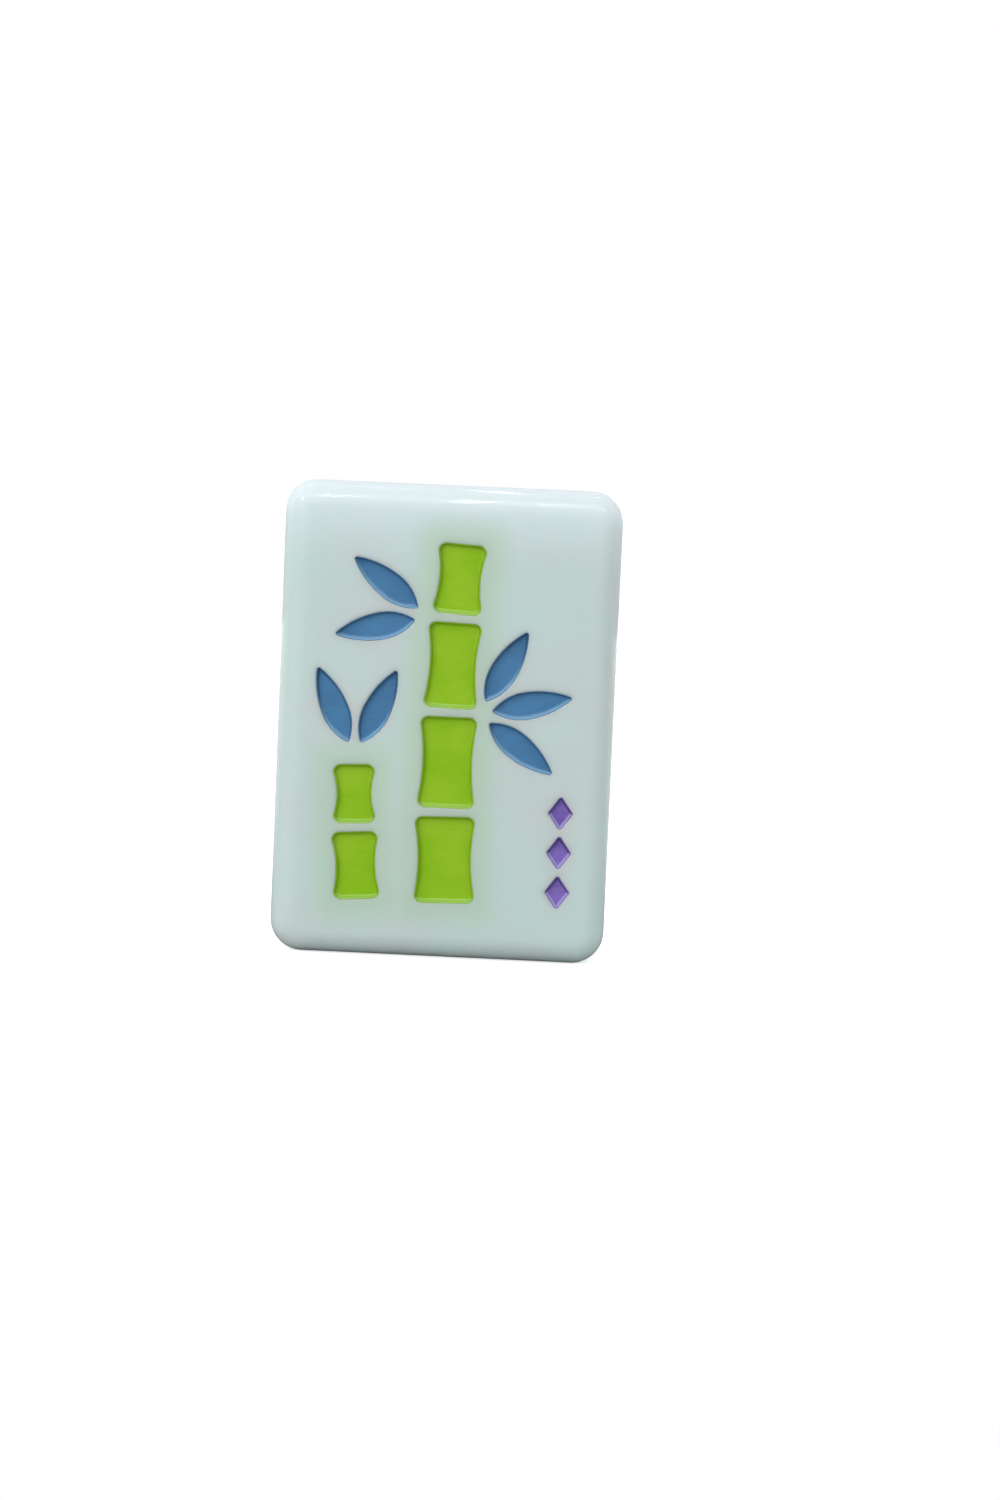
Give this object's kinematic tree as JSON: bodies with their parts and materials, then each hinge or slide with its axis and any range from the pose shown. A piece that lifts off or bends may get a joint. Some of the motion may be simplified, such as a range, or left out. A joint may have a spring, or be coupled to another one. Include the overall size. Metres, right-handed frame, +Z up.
{
  "type": "mahjong tile",
  "caption": "Rounded rectangular playing tile in milky mint, engraved on its face with a bamboo motif lined in green, blue and purple enamel.",
  "frame": {"origin": "centre of the tile's footprint, on the surface that the tile stands on", "axes": "+Z up along the tile's height, +X to the right across the engraved face, -Y out of the engraved face"},
  "size_m": [0.022, 0.014, 0.031],
  "materials": {
    "tile": "polished milky translucent mint plastic",
    "green_enamel": "gloss lime-green enamel",
    "blue_enamel": "gloss steel-blue enamel",
    "purple_enamel": "gloss purple enamel"
  },
  "bodies": {
    "root": {"tile_body": "tile", "cane_enamel_1": "green_enamel", "cane_enamel_2": "green_enamel", "cane_enamel_3": "green_enamel", "cane_enamel_4": "green_enamel", "shoot_enamel_1": "green_enamel", "shoot_enamel_2": "green_enamel", "leaf_enamel_1": "blue_enamel", "leaf_enamel_2": "blue_enamel", "leaf_enamel_3": "blue_enamel", "leaf_enamel_4": "blue_enamel", "leaf_enamel_5": "blue_enamel", "leaf_enamel_6": "blue_enamel", "leaf_enamel_7": "blue_enamel", "pip_enamel_1": "purple_enamel", "pip_enamel_2": "purple_enamel", "pip_enamel_3": "purple_enamel"}
  },
  "joints": []
}
